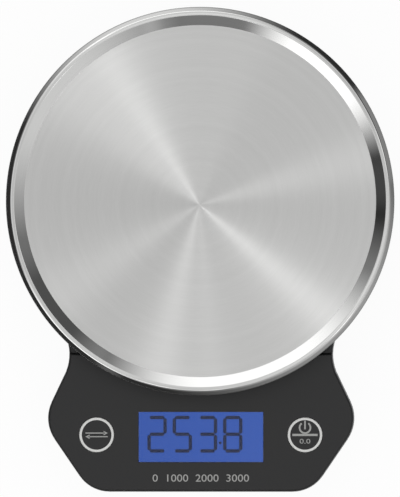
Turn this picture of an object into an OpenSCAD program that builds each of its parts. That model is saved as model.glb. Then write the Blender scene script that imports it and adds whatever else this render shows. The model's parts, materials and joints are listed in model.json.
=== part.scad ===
// Digital kitchen scale: a round pressed steel tray on a moulded housing whose
// front flares out into a control panel with a display and two buttons.
// Millimetres. +Z is up and -Y is the front. The origin is on the table, under
// the middle of the object's bounding box.

/* [Tray] */
// Outer diameter of the steel tray
tray_d = 160; // [158:0.5:164]
// Height of the tray's rim, from its lower edge to its crest
tray_rim_h = 12; // [10:0.5:14]
// Diameter of the flat brushed disc
disc_d = 145.2; // [140:0.2:146]
// Depth of the disc below the rim's crest
disc_drop = 2.5; // [1.5:0.1:3.2]
// Diameter of the middle of the rim's flat crest
crest_d = 155.2; // [154:0.2:156]
// Width of the flat on the rim's crest
crest_w = 1.2; // [0.6:0.1:1.6]
// Thickness of the steel sheet
sheet_t = 0.8; // [0.6:0.1:1]

/* [Body outline] */
// Distance from the tray's centre to the front edge of the panel
panel_reach = 120; // [118:0.5:124]
// Diameter of the round base under the tray
base_d = 156; // [154:0.5:157]
// Radius of the hollow neck between the round base and the panel
neck_r = 18.5; // [17:0.5:20]
// Half the panel's width, where its two side lines would meet
shoulder_x = 65.6; // [64:0.2:67]
// Distance of that corner behind the front edge
shoulder_back = 29.15; // [28:0.25:31]
// Angle of the line from the neck to the shoulder, off the Y axis
flank_angle = 25.4; // [24:0.2:27]
// Radius that rounds the shoulder
shoulder_r = 15.7; // [14:0.1:16]
// Half the front edge's width, where it would meet the side line
toe_x = 45.7; // [44:0.1:47]
// Radius that rounds the front corners
toe_r = 15; // [13:0.5:16]

/* [Heights] */
// Height of the feet under the housing
foot_h = 2; // [1.5:0.1:2.5]
// Height of the joint between the two housing shells
joint_z = 12; // [11.5:0.1:12.5]
// Height of the housing's top under the tray
pan_z = 20; // [19.5:0.1:20.4]
// Height of the control panel
deck_z = 22; // [21.8:0.1:22.4]
// Height of the rim's crest, which is the overall height
crest_z = 36; // [35.5:0.5:38]
// Wall thickness of the housing
wall = 2; // [1.8:0.1:2.2]

/* [Display and buttons] */
// Width of the display window
window_w = 51.4; // [48:0.2:52]
// Depth of the display window
window_d = 20.7; // [19:0.1:21]
// Distance of the window's centre behind the front edge
window_back = 22.7; // [22:0.1:23.5]
// Diameter of the button caps
button_d = 14.4; // [13:0.1:15]
// Distance of each button from the middle
button_x = 43; // [42.5:0.1:43.5]
// Distance of the buttons' centres behind the front edge
button_back = 23.6; // [23:0.1:24.5]
// Travel of the buttons
button_travel = 0.5; // [0.3:0.05:0.5]

/* [Load cell and batteries] */
// Length of the load cell's beam
beam_l = 64; // [60:1:66]
// Width of the beam
beam_w = 12; // [11:0.5:12.7]
// Height of the beam
beam_h = 8; // [7.5:0.1:8]
// Travel of the tray down to its overload stops
tray_travel = 0.6; // [0.4:0.05:0.7]
// Diameter of a battery
cell_d = 10.5; // [10.2:0.1:10.5]
// Length of a battery's case, without its raised contact
cell_l = 44.5; // [43:0.1:44.5]

/* [Hidden] */
$fn = 96;

black_plastic = "#2b2b2b";
panel_plastic = "#363636";
bare_steel = "#b8b8ba";

// Clearances: between parts that are fitted, that slide, and that turn
fit_gap = 0.2;
slide_gap = 0.15;
turn_gap = 0.05;

// Middle of the tray and of the round base
front_y = -(panel_reach + tray_d / 2) / 2;
tray_y = front_y + panel_reach;
base_r = base_d / 2;

// Heights of the housing's skins
floor_z = foot_h + wall;
// Where bosses and ribs start, inside the floor's thickness
rooted_z = foot_h + 0.6;
deck_under = deck_z - wall - 0.2;
pan_under = pan_z - wall;

// Outline of the housing, right half: centres and tangent angles of its arcs
shoulder_y = front_y + shoulder_back;
side_angle = -atan2(shoulder_x - toe_x, shoulder_back);
function unit(a) = [cos(a), sin(a)];
flank_dir = unit(flank_angle + 90);
flank_normal = unit(flank_angle);
side_normal = unit(side_angle);
shoulder = [shoulder_x, shoulder_y];
toe = [toe_x, front_y];
tray_c = [0, tray_y];

// The centre of an arc that touches both lines of a corner
function corner_centre(corner, a, b, r) = corner - r * (unit(a) + unit(b)) / (1 + unit(a) * unit(b));
shoulder_c = corner_centre(shoulder, flank_angle, side_angle, shoulder_r);
toe_c = corner_centre(toe, side_angle, -90, toe_r);

// The neck's centre lies neck_r off the flank line and off the round base
neck_line = shoulder + neck_r * flank_normal - tray_c;
neck_b = neck_line * flank_dir;
neck_t = -neck_b - sqrt(neck_b ^ 2 - neck_line * neck_line + (base_r + neck_r) ^ 2);
neck_c = tray_c + neck_line + neck_t * flank_dir;
neck_angle = atan2(neck_c.y - tray_y, neck_c.x);

// Points of an arc, from angle a to angle b
function arc(c, r, a, b, n) = [for (i = [0:n]) c + r * unit(a + (b - a) * i / n)];
function reversed(v) = [for (i = [len(v) - 1:-1:0]) v[i]];
function flipped(v) = [for (p = v) [-p.x, p.y]];

// The outline drawn in by inset, for the insides of the shells
module outline_2d(inset) {
  right = concat(
    arc(toe_c, toe_r - inset, -90, side_angle, 8),
    arc(shoulder_c, shoulder_r - inset, side_angle, flank_angle, 8),
    arc(neck_c, neck_r + inset, 180 + flank_angle, 180 + neck_angle, 8),
    arc(tray_c, base_r - inset, neck_angle, 89, 32)
  );
  polygon(concat(right, reversed(flipped(right))));
}

module inside_from(z, inset, h) {
  translate([0, 0, z]) linear_extrude(h) outline_2d(inset);
}

// A profile runs down the outside of the housing as [x, z], with x counted out from the
// outline. These follow it round a convex arc, a hollow arc and along a straight line.
module round_form(c, r, profile) {
  top = profile[0].y;
  low = profile[len(profile) - 1].y;
  translate([c.x, c.y, 0])
    rotate_extrude()
      polygon(concat([[0, top]], [for (p = profile) [r + p.x, p.y]], [[0, low]]));
}

module hollow_form(c, r, profile) {
  top = profile[0];
  low = profile[len(profile) - 1];
  translate([c.x, c.y, 0])
    rotate_extrude()
      polygon(concat(
        [[0, top.y + 1], [r - top.x, top.y + 1]],
        [for (p = profile) [r - p.x, p.y]],
        [[r - low.x, low.y - 1], [0, low.y - 1]]
      ));
}

// From one point of the outline to the next one to the right, seen from outside
module straight_form(from, to, profile) {
  depth = 20;
  top = profile[0].y;
  low = profile[len(profile) - 1].y;
  translate([from.x, from.y, 0])
    rotate([0, 0, atan2(to.y - from.y, to.x - from.x) + 90])
      rotate([90, 0, 0])
        linear_extrude(norm(to - from))
          polygon(concat([[-depth, top]], profile, [[-depth, low]]));
}

module both_sides() {
  children();
  mirror([1, 0, 0]) children();
}

// A solid with the housing's whole outline and the given profile. Surfaces that would
// only touch, at the tangent points, are kept a hair apart: the straight sides stand
// proud of the round corners, and the web that fills the neck starts just past them.
hair = 0.03;

module housing_form(profile) {
  top = profile[0].y;
  low = profile[len(profile) - 1].y;
  neck_foot = neck_c - neck_r * flank_normal;
  toe_foot = toe_c + toe_r * unit(-90);
  web_a = neck_foot - 0.13 * flank_normal + 1.2 * flank_dir;
  web_b = unit(neck_angle - 0.9);
  web = [
    web_a, tray_c + (base_r - 0.1) * web_b, tray_c + (base_r - 25) * web_b,
    web_a - 25 * flank_normal
  ];
  core = [[38, front_y + 12], [50, front_y + 28], [42, front_y + 43], [42, front_y + 76]];
  round_form(tray_c, base_r, profile);
  both_sides() {
    round_form(shoulder_c, shoulder_r - hair, profile);
    round_form(toe_c, toe_r - hair, profile);
    straight_form(neck_foot + 3 * flank_dir, shoulder_c + shoulder_r * flank_normal, profile);
    straight_form(shoulder_c + shoulder_r * side_normal, toe_c + toe_r * side_normal, profile);
    difference() {
      translate([0, 0, low]) linear_extrude(top - low) polygon(web);
      hollow_form(neck_c, neck_r, profile);
    }
  }
  straight_form(toe_foot, [-toe_foot.x, toe_foot.y], profile);
  translate([0, 0, low])
    linear_extrude(top - low) polygon(concat(core, reversed(flipped(core))));
}

module block(low, high) {
  translate(low) cube(high - low);
}

module rod(pos, r, h) {
  translate(pos) cylinder(r = r, h = h);
}

module rod_x(pos, r, h) {
  translate(pos) rotate([0, 90, 0]) cylinder(r = r, h = h);
}

// A pan-head screw that points up, with its head's seat at pos and a cross in its head
module screw_up(pos, shank_r, length, head_r, head_h) {
  cross = head_r * 0.32;
  translate(pos) {
    difference() {
      rod([0, 0, -head_h], head_r, head_h);
      for (a = [0, 90])
        rotate([0, 0, a])
          block([-head_r * 0.6, -cross / 2, -head_h - 1], [head_r * 0.6, cross / 2, -head_h * 0.4]);
    }
    rod([0, 0, -0.01], shank_r, length + 0.01);
  }
}

// A round tube that follows points, as one closed mesh
module tube(points, r, sides, up = [0, 0, 1]) {
  n = len(points);
  function heading(i) = points[min(i + 1, n - 1)] - points[max(i - 1, 0)];
  function across(i) =
    let (h = heading(i), side = cross(h, abs(h * up) > 0.9 * norm(h) ? [0, 1, 0] : up))
    side / norm(side);
  function ring(i) =
    let (u = across(i), v = cross(u, heading(i)) / norm(heading(i)))
    [for (k = [0:sides - 1]) points[i] + r * (cos(360 * k / sides) * u + sin(360 * k / sides) * v)];
  rings = [for (i = [0:n - 1]) each ring(i)];
  skin = [
    for (i = [0:n - 2], k = [0:sides - 1])
      let (a = i * sides + k, b = i * sides + (k + 1) % sides)
      each [[a, a + sides, b + sides], [a, b + sides, b]]
  ];
  ends = [
    for (k = [1:sides - 2])
      each [[0, k, k + 1], [(n - 1) * sides, (n - 1) * sides + k + 1, (n - 1) * sides + k]]
  ];
  polyhedron(rings, concat(skin, ends));
}

// A smooth route through hand-placed points, rounded by cutting its corners
function smoothed(p, passes) = passes == 0 ? p : smoothed(
  [
    p[0],
    for (i = [0:len(p) - 2]) each [0.75 * p[i] + 0.25 * p[i + 1], 0.25 * p[i] + 0.75 * p[i + 1]],
    p[len(p) - 1]
  ],
  passes - 1
);

// Lower housing: a drafted and rounded wall with a tongue on its top edge
base_draft = 14;
base_round = 3.5;
tongue_w = 0.85;
tongue_h = 1.2;
reveal = 0.35;
base_round_c = [
  (-base_round + (foot_h + base_round - joint_z) * sin(base_draft)) / cos(base_draft),
  foot_h + base_round
];
base_outside = concat(
  [[-wall + tongue_w, joint_z + tongue_h], [-wall + tongue_w, joint_z]],
  [[-reveal, joint_z], [0, joint_z - reveal]],
  arc(base_round_c, base_round, -base_draft, -90, 8)
);

// The inside steps out as the drafted wall does: height where a step starts, and inset
base_steps = [[floor_z, 3.9], [floor_z + 3, 3], [floor_z + 6, 2.2], [joint_z, wall]];

// Screws that hold the two shells together
housing_screw_at = [for (s = [-1, 1]) each [[s * 56.5, -71.5], [s * 64, 8], [s * 40, 74]]];
housing_boss_z = 9;
housing_seat_z = 6.5;

// Screws that hold the board under the panel
board_screw_at = [for (s = [-1, 1]) each [[s * 36, -62], [s * 36, -90]]];

// Feet
foot_r = 6;
foot_sunk = 0.8;
front_foot = [41, -83];
rear_foot = [50, 62];

// Load cell: the beam lies along X under the tray's centre
beam_z = floor_z + 2.2;
beam_top = beam_z + beam_h;
beam_screw_in = [6, 14];
beam_screw_r = 2;
beam_hole_r = 3;
beam_hole_x = 8;
cell_seat_z = foot_h + 2.4;

// Battery bay
bay_l = cell_l + 7.5;
bay_w = 2 * cell_d + 1.6;
bay_y = 51.5;
bay_top = 15.5;
bay_skin = 1.2;
cell_z = 4.8 + cell_d / 2;
cell_pitch = cell_d + 0.4;

// Battery door: it turns about pins in its front edge
door_l = bay_l + 5;
door_w = bay_w + 5;
door_edge_r = 1.2;
door_pin_r = 0.6;
door_pin_l = 1.4;
door_t = 1.6;
door_gap = 0.25;
hinge_y = bay_y - door_w / 2 + door_edge_r;
hinge_z = foot_h + door_edge_r;
rebate_z = foot_h + 2 * door_edge_r + 0.2;
bay_ledge_z = rebate_z + 1.8;

module battery_bay() {
  frame_x = door_l / 2 + 2.4;
  frame_y = door_w / 2 + 1.8;
  block([-frame_x, bay_y - frame_y, rooted_z], [frame_x, bay_y + frame_y, bay_ledge_z]);
  block(
    [-bay_l / 2 - bay_skin, bay_y - bay_w / 2 - bay_skin, floor_z],
    [bay_l / 2 + bay_skin, bay_y + bay_w / 2 + bay_skin, bay_top + bay_skin]
  );
}

module battery_bay_hollow() {
  // Room for the cells
  block([-bay_l / 2, bay_y - bay_w / 2, foot_h - 1], [bay_l / 2, bay_y + bay_w / 2, bay_top]);
  // Room for the door
  block(
    [-door_l / 2 - door_gap, bay_y - door_w / 2 - door_gap, foot_h - 1],
    [door_l / 2 + door_gap, bay_y + door_w / 2 + door_gap, rebate_z]
  );
  // Sockets for the door's pins
  socket_x = door_l / 2 + door_pin_l + fit_gap;
  rod_x([-socket_x, hinge_y, hinge_z], door_pin_r + turn_gap, 2 * socket_x);
  // Thumb recess beside the latch
  rod([0, bay_y + door_w / 2 + 5, foot_h - 1], 7, 1.9);
  // Slots for the contacts' solder tabs
  for (y = [bay_y - cell_pitch / 2, bay_y + cell_pitch / 2])
    block([-bay_l / 2 - 3, y - 1.6, 9.2], [-bay_l / 2 + 1, y + 1.6, 9.8]);
}

module base_shell() {
  color(black_plastic)
    difference() {
      union() {
        difference() {
          housing_form(base_outside);
          for (s = base_steps) inside_from(s[0], s[1], joint_z + tongue_h + 1 - s[0]);
        }
        battery_bay();
        // Bosses round the housing screws
        for (p = housing_screw_at) rod([p.x, p.y, rooted_z], 3.9, housing_boss_z - rooted_z);
        // Seat of the load cell's fixed end, and the stop under its free end
        block(
          [-beam_l / 2 - 1, tray_y - beam_w / 2 - 1, rooted_z],
          [-beam_l / 2 + 19, tray_y + beam_w / 2 + 1, beam_z]
        );
        block(
          [beam_l / 2 - 16, tray_y - 5, rooted_z],
          [beam_l / 2 - 4, tray_y + 5, beam_z - tray_travel - 0.15]
        );
        // Ribs beside the load cell
        for (s = [-1, 1])
          block([-36, tray_y + s * 9.5 - 0.7, rooted_z], [36, tray_y + s * 9.5 + 0.7, floor_z + 3.5]);
        // Ribs across the front
        for (x = [-24, 24])
          block([x - 0.7, front_y + 12, rooted_z], [x + 0.7, tray_y - 10, floor_z + 2]);
        block([-50, -56.7, rooted_z], [50, -55.3, floor_z + 2.5]);
      }
      battery_bay_hollow();
      for (p = housing_screw_at) {
        rod([p.x, p.y, foot_h - 1], 2.9, housing_seat_z - foot_h + 1);
        rod([p.x, p.y, foot_h], 1.7, housing_boss_z);
      }
      for (d = beam_screw_in) {
        rod([-beam_l / 2 + d, tray_y, foot_h - 1], 3.8, cell_seat_z - foot_h + 1);
        rod([-beam_l / 2 + d, tray_y, foot_h], beam_screw_r + fit_gap, 10);
      }
      // Recesses for the feet
      for (s = [-1, 1], p = [front_foot, rear_foot])
        rod([s * p.x, p.y, foot_h - 1], foot_r + 0.1, foot_sunk + 1);
      // Gap in the ribs for the wires
      block([-7, tray_y - 12, floor_z], [7, tray_y - 7, floor_z + 6]);
      block([-22, -58, floor_z], [22, -54, floor_z + 6]);
    }
}

// Upper housing: its wall is drafted, takes the base's tongue and is rounded on top
top_draft = 1;
top_round = 1.2;
top_inset = wall + 0.15;

function drafted_x(z) = -(z - joint_z - reveal) * tan(top_draft);

tongue_x = -wall + tongue_w + 0.1;
tongue_top = joint_z + tongue_h + 0.15;

// The outside below a flat at height top
function top_outside(top) = concat(
  arc([drafted_x(top - top_round) - top_round, top - top_round], top_round, 90, 0, 6),
  [[0, joint_z + reveal], [-reveal, joint_z]]
);

post_x = beam_l / 2 - 10;
post_w = 20;
post_d = 15;
stop_at = [for (a = [45:90:315]) tray_c + 45 * unit(a)];
stop_top = crest_z - tray_rim_h - 0.6 - tray_travel - 0.05;

window_y = front_y + window_back;
button_y = front_y + button_back;
button_r = button_d / 2;
board_top = 13.6;

module in_front_of(y) {
  block([-100, front_y - 1, 0], [100, y, deck_z + 1]);
}

module top_shell() {
  // The step down from the panel lies just behind the middle of the necks
  step_y = neck_c.y + 0.5;
  color(panel_plastic)
    difference() {
      union() {
        difference() {
          union() {
            intersection() {
              housing_form(top_outside(deck_z));
              in_front_of(step_y);
            }
            difference() {
              housing_form(top_outside(pan_z));
              in_front_of(step_y);
            }
          }
          // Groove for the base's tongue, and the inside up to the two ceilings
          inside_from(joint_z - 1, -tongue_x, tongue_top - joint_z + 1);
          inside_from(joint_z - 1, top_inset, pan_under - joint_z + 1);
          intersection() {
            inside_from(joint_z - 1, top_inset, deck_under - joint_z + 1);
            in_front_of(step_y - wall);
          }
        }
        // Posts for the housing screws
        for (p = housing_screw_at)
          rod([p.x, p.y, housing_boss_z], 3.2, (p.y < step_y ? deck_z : pan_z) - 1 - housing_boss_z);
        // Posts for the board
        for (p = board_screw_at) rod([p.x, p.y, board_top], 2.6, deck_z - 1 - board_top);
        // Overload stops under the tray's carrier
        for (p = stop_at) rod([p.x, p.y, pan_z - 1], 3, stop_top - pan_z + 1);
        // Raised lip round the hole for the load cell's post
        block(
          [post_x - post_w / 2 - 3.2, tray_y - post_d / 2 - 3.2, pan_under],
          [post_x + post_w / 2 + 3.2, tray_y + post_d / 2 + 3.2, pan_z + 1.2]
        );
      }
      // The panel's rear edge is rounded like the rest of its edge
      translate([-100, step_y, deck_z])
        rotate([90, 0, 90])
          linear_extrude(200)
            difference() {
              translate([-top_round, -top_round]) square(top_round + 1);
              translate([-top_round, -top_round]) circle(top_round);
            }
      // Hole for the load cell's post
      block(
        [post_x - post_w / 2 - 1.8, tray_y - post_d / 2 - 1.8, pan_under - 1],
        [post_x + post_w / 2 + 1.8, tray_y + post_d / 2 + 1.8, pan_z + 3]
      );
      // Display window and buttons
      translate([0, window_y, deck_z])
        cube([window_w + 0.2, window_d + 0.2, 10], center = true);
      for (s = [-1, 1])
        rod([s * button_x, button_y, deck_under - 1], button_r + slide_gap, 10);
      // Pilot holes
      for (p = housing_screw_at) rod([p.x, p.y, housing_boss_z - 1], 1.25, 9);
      for (p = board_screw_at) rod([p.x, p.y, board_top - 1], 0.85, 6);
    }
}

// Tray: its section runs from the axis over the bevel and the crest to the lower edge
disc_z = crest_z - disc_drop;
crest_in = crest_d / 2 - crest_w / 2;
crest_out = crest_d / 2 + crest_w / 2;
bevel_round = 1;

// Slope of the bevel between the disc and the crest
bevel_angle = atan2(disc_drop, crest_in - 0.3 - disc_d / 2);

// Outside the crest the rim leans, between a round brow and the corner where it turns down
rim_lean = 40;
rim_brow = 0.9;
rim_corner = 1;
rim_run = tray_d / 2 - crest_out - rim_corner + (rim_corner - rim_brow) * sin(rim_lean);
rim_corner_c = [
  tray_d / 2 - rim_corner,
  crest_z - rim_brow - (rim_corner - rim_brow) * cos(rim_lean) - rim_run * tan(rim_lean)
];

function tray_skin(drop) = concat(
  [[0, disc_z - drop], [disc_d / 2 + drop * tan(bevel_angle / 2), disc_z - drop]],
  arc([crest_in, crest_z - bevel_round], bevel_round - drop * 0.8, 90 + bevel_angle, 90, 5),
  arc([crest_out, crest_z - rim_brow], rim_brow - drop, 90, 90 - rim_lean, 4),
  arc(rim_corner_c, rim_corner - drop, 90 - rim_lean, 0, 6),
  [[tray_d / 2 - drop, crest_z - tray_rim_h]]
);

module weighing_tray() {
  color(bare_steel)
    translate([0, tray_y, 0])
      rotate_extrude($fn = 192)
        polygon(concat(tray_skin(0), reversed(tray_skin(sheet_t))));
}

// Carrier: a ribbed plate under the disc, with a post down to the load cell
tape_t = 0.3;
carrier_top = disc_z - sheet_t - tape_t;
carrier_t = 1.5;
carrier_r = disc_d / 2 - 2.6;
rib_z = crest_z - tray_rim_h - 0.6;
rib_h = carrier_top - carrier_t - rib_z;

module tray_tape_pads() {
  color("#6f6f6f")
    for (a = [0:60:300])
      translate([52 * cos(a + 30), tray_y + 52 * sin(a + 30), carrier_top])
        cylinder(r = 11, h = tape_t);
}

module ring(r, t, z, h) {
  translate([0, 0, z])
    difference() {
      cylinder(r = r, h = h);
      translate([0, 0, -1]) cylinder(r = r - t, h = h + 2);
    }
}

module tray_carrier() {
  well_x = post_w / 2 - 2;
  well_y = post_d / 2 - 2;
  color(black_plastic)
    difference() {
      union() {
        translate([0, tray_y, 0]) {
          rod([0, 0, carrier_top - carrier_t], carrier_r, carrier_t);
          ring(carrier_r, 1.6, rib_z, rib_h + 0.5);
          ring(45.8, 1.6, rib_z, rib_h + 0.5);
          ring(24, 1.4, rib_z, rib_h + 0.5);
          for (a = [15:30:345])
            rotate([0, 0, a])
              block([23, -0.7, rib_z], [carrier_r - 1, 0.7, carrier_top - 0.5]);
        }
        block(
          [post_x - post_w / 2, tray_y - post_d / 2, beam_top],
          [post_x + post_w / 2, tray_y + post_d / 2, carrier_top - 0.5]
        );
      }
      // Well for the screws' heads
      block(
        [post_x - well_x, tray_y - well_y, beam_top + 4],
        [post_x + well_x, tray_y + well_y, carrier_top + 1]
      );
      for (d = beam_screw_in)
        rod([beam_l / 2 - d, tray_y, beam_top - 1], beam_screw_r + fit_gap, 10);
    }
}

module load_cell() {
  color("#c4c6c8")
    difference() {
      block([-beam_l / 2, tray_y - beam_w / 2, beam_z], [beam_l / 2, tray_y + beam_w / 2, beam_top]);
      // The two side holes and the slot that joins them
      for (x = [-beam_hole_x, beam_hole_x])
        translate([x, tray_y + beam_w, beam_z + beam_h / 2])
          rotate([90, 0, 0])
            cylinder(r = beam_hole_r, h = 2 * beam_w);
      block(
        [-beam_hole_x, tray_y - beam_w, beam_z + beam_h / 2 - 1],
        [beam_hole_x, tray_y + beam_w, beam_z + beam_h / 2 + 1]
      );
      for (s = [-1, 1], d = beam_screw_in)
        rod([s * (beam_l / 2 - d), tray_y, beam_z - 1], beam_screw_r, beam_h + 2);
    }
}

gauge_l = 6;
gauge_w = 4;
gauge_t = 0.15;
coating_l = 22.8;
coating_t = 1.1;

module strain_gauges() {
  color("#b98a3d")
    for (x = [-beam_hole_x, beam_hole_x], z = [beam_z - gauge_t, beam_top])
      translate([x, tray_y, z])
        block([-gauge_l / 2, -gauge_w / 2, 0], [gauge_l / 2, gauge_w / 2, gauge_t]);
}

// Silicone over the gauges, above and below the beam
module gauge_coating() {
  color("#e9e6dd")
    for (side = [0, 1])
      translate([0, tray_y, beam_z + beam_h / 2])
        mirror([0, 0, side])
          difference() {
            translate([0, 0, beam_h / 2])
              block([-coating_l / 2, -5, 0], [coating_l / 2, 5, coating_t]);
            for (x = [-beam_hole_x, beam_hole_x])
              block(
                [x - gauge_l / 2 - 0.05, -gauge_w / 2 - 0.05, beam_h / 2 - 1],
                [x + gauge_l / 2 + 0.05, gauge_w / 2 + 0.05, beam_h / 2 + gauge_t + 0.05]
              );
          }
}

module load_cell_base_screws() {
  color(bare_steel)
    for (d = beam_screw_in)
      screw_up([-beam_l / 2 + d, tray_y, cell_seat_z], beam_screw_r - turn_gap, 8, 3.5, 2);
}

module load_cell_tray_screws() {
  color(bare_steel)
    for (d = beam_screw_in)
      translate([beam_l / 2 - d, tray_y, beam_top + 4])
        mirror([0, 0, 1])
          screw_up([0, 0, 0], beam_screw_r - turn_gap, 10, 3.5, 2);
}

// Four wires from the load cell to the board
wire_r = 0.45;
wire_route = [
  [0, 15, 14.75], [0, 13.6, 14.75], [0, 12.4, 14], [0, 11.8, 11], [0, 10.8, 7], [0, 9, 5],
  [0, 4, 4.8], [0, -20, 4.8], [0, -44, 5], [0, -55, 5.4], [0, -58, 8], [0, -58.6, 12]
];

module load_cell_wires() {
  colors = ["#b3262a", "#1c1c1c", "#2f8a45", "#e4e4e0"];
  for (i = [0:3])
    color(colors[i])
      translate([(i - 1.5) * 1.3, 0, 0]) tube(smoothed(wire_route, 1), wire_r, 6);
}

// Board: it hangs under the panel on the board posts
board_t = 1.6;
board_x = 50;
board_rear = -57.5;
board_front = -92.5;

module main_board() {
  color("#1f5a33")
    difference() {
      translate([0, 0, board_top - board_t])
        linear_extrude(board_t)
          polygon([
            [-44, board_front], [44, board_front], [board_x, -84], [board_x, -63],
            [45, board_rear], [-45, board_rear], [-board_x, -63], [-board_x, -84]
          ]);
      for (p = board_screw_at) rod([p.x, p.y, 5], 1.2, 20);
      // Notches for the display frame's clips
      for (s = [-1, 1])
        block([s * clip_x - 2.2, board_front - 1, 5], [s * clip_x + 2.2, clip_y + clip_t + 0.1, 20]);
    }
}

module controller_blob() {
  blob_r = 6;
  blob_h = 1.6;
  ball_r = (blob_r ^ 2 + blob_h ^ 2) / (2 * blob_h);
  color("#141414")
    translate([8, -74, board_top - board_t])
      intersection() {
        translate([0, 0, ball_r - blob_h]) sphere(ball_r);
        rod([0, 0, -5], blob_r + 1, 5);
      }
}

module board_components() {
  under = board_top - board_t;
  color("#4a4036") {
    // Ceramic capacitors and resistors on the underside
    for (x = [-30:4:-10]) block([x, -68, under - 0.7], [x + 2, -66.8, under]);
    for (y = [-84:3.2:-74]) block([-14, y, under - 0.6], [-12.4, y + 0.9, under]);
    // Electrolytic capacitor
    rod([24, -84, under - 5.5], 2.5, 5.5);
    // Crystal
    block([20, -70, under - 2.4], [28, -67, under]);
  }
}

// Push switches: a square body with four legs, and a plunger that sinks into it
switch_h = 3.5;
plunger_r = 1.75;
plunger_top = 18.6;
plunger_foot = 16.5;

module switch_body(x) {
  color("#262626")
    translate([x, button_y, board_top])
      difference() {
        union() {
          block([-3, -3, 0], [3, 3, switch_h]);
          for (sx = [-1, 1], sy = [-1, 1])
            block([sx * 3.4 - 0.5, sy * 2.2 - 0.35, 0], [sx * 3.4 + 0.5, sy * 2.2 + 0.35, 0.8]);
        }
        rod([0, 0, plunger_foot - button_travel - 0.2 - board_top], plunger_r + turn_gap, 5);
      }
}

module switch_plunger(x) {
  color("#5d5d5d") rod([x, button_y, plunger_foot], plunger_r, plunger_top - plunger_foot);
}

module unit_switch() {
  switch_body(-button_x);
}

module unit_switch_plunger() {
  switch_plunger(-button_x);
}

module tare_switch() {
  switch_body(button_x);
}

module tare_switch_plunger() {
  switch_plunger(button_x);
}

// Button cap: a shallow cup with a flange that holds it under the panel
flange_r = 8.6;
flange_t = 0.8;
cap_edge = 0.25;

module button_cap(x) {
  flange_top = deck_under - fit_gap;
  color(panel_plastic)
    translate([x, button_y, 0])
      rotate_extrude()
        polygon([
          [0, deck_z], [button_r - cap_edge, deck_z], [button_r, deck_z - cap_edge],
          [button_r, flange_top], [flange_r, flange_top], [flange_r, flange_top - flange_t],
          [5.8, flange_top - flange_t], [5.8, deck_z - 1.6], [2.2, deck_z - 1.6],
          [2.2, plunger_top], [0, plunger_top]
        ]);
}

module unit_button() {
  button_cap(-button_x);
}

module tare_button() {
  button_cap(button_x);
}

// Display, from the top down: window, glass, light guide, in a frame on the board
window_flange = 2.2;
window_flange_t = 0.8;
glass_top = deck_under - window_flange_t - 0.1;
glass_w = 56;
glass_d = 24;
glass_ledge = 3;
glass_t = 1.2;
guide_t = 2.6;

module display_window() {
  color("#8fa3c8", 0.35)
    translate([0, window_y, 0]) {
      block([-window_w / 2, -window_d / 2, deck_under - 0.4], [window_w / 2, window_d / 2, deck_z]);
      block(
        [-window_w / 2 - window_flange, -window_d / 2 - window_flange, deck_under - window_flange_t],
        [window_w / 2 + window_flange, window_d / 2 + window_flange, deck_under]
      );
    }
}

module display_glass() {
  x = glass_w / 2;
  y = glass_d / 2;
  color("#4461af")
    translate([0, window_y, 0]) {
      block([-x, -y, glass_top - glass_t], [x, y + glass_ledge, glass_top]);
      block([-x, -y, glass_top - 2 * glass_t], [x, y, glass_top - glass_t + 0.01]);
    }
}

module display_light_guide() {
  guide_top = glass_top - 2 * glass_t;
  color("#dfe8f5")
    translate([0, window_y, 0])
      block([-glass_w / 2, -glass_d / 2, guide_top - guide_t], [glass_w / 2 - 3, glass_d / 2, guide_top]);
}

module display_leds() {
  color("#f0ead2")
    for (y = [-7, 0, 7])
      translate([glass_w / 2, window_y + y, board_top]) block([-2.8, -1.6, 0], [-1.4, 1.6, 1.4]);
}

// Clips on the frame's front side pass through notches and hook under the board
frame_t = 1.8;
clip_x = 20;
clip_t = 1;
clip_y = window_y - glass_d / 2 - fit_gap - frame_t - clip_t + 0.1;
clip_z = board_top - board_t - 0.8;

module display_frame() {
  in_x = glass_w / 2 + fit_gap;
  in_front = window_y - glass_d / 2 - fit_gap;
  in_rear = window_y + glass_d / 2 + glass_ledge + fit_gap;
  color("#e8e8e4") {
    difference() {
      block(
        [-in_x - frame_t, in_front - frame_t, board_top],
        [in_x + frame_t, in_rear + frame_t, glass_top - 0.3]
      );
      block([-in_x, in_front, board_top - 3], [in_x, in_rear, glass_top + 1]);
    }
    for (x = [-clip_x, clip_x]) {
      block([x - 2, clip_y, clip_z], [x + 2, clip_y + clip_t, board_top + 2]);
      block([x - 2, clip_y, clip_z], [x + 2, clip_y + clip_t + 1, board_top - board_t - 0.1]);
    }
  }
}

module display_contact_strip() {
  strip_y = window_y + glass_d / 2 + 0.5;
  color("#b9bcc4")
    block([-24, strip_y, board_top], [24, strip_y + 2, glass_top - glass_t]);
}

// Batteries lie side by side, head to tail, with their cases against fixed ends
module battery(y, way) {
  nub_r = 1.9;
  nub_h = 1;
  case_from = bay_l / 2 - 1.6 - nub_h - cell_l;
  translate([0, y, cell_z])
    mirror([way < 0 ? 1 : 0, 0, 0])
      rotate([0, 90, 0])
        translate([0, 0, case_from])
          rotate_extrude()
            polygon([
              [0, 0], [cell_d / 2 - 0.5, 0], [cell_d / 2, 0.5], [cell_d / 2, cell_l - 0.5],
              [cell_d / 2 - 0.5, cell_l], [nub_r, cell_l], [nub_r, cell_l + nub_h], [0, cell_l + nub_h]
            ]);
}

module battery_front() {
  color("#3f6f9e") battery(bay_y - cell_pitch / 2, 1);
}

module battery_rear() {
  color("#3f6f9e") battery(bay_y + cell_pitch / 2, -1);
}

// Contacts: a plate behind each battery end, one long plate joining the two on the right
contact_t = 0.5;
spring_wire_r = 0.3;
spring_curls = 3;

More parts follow.
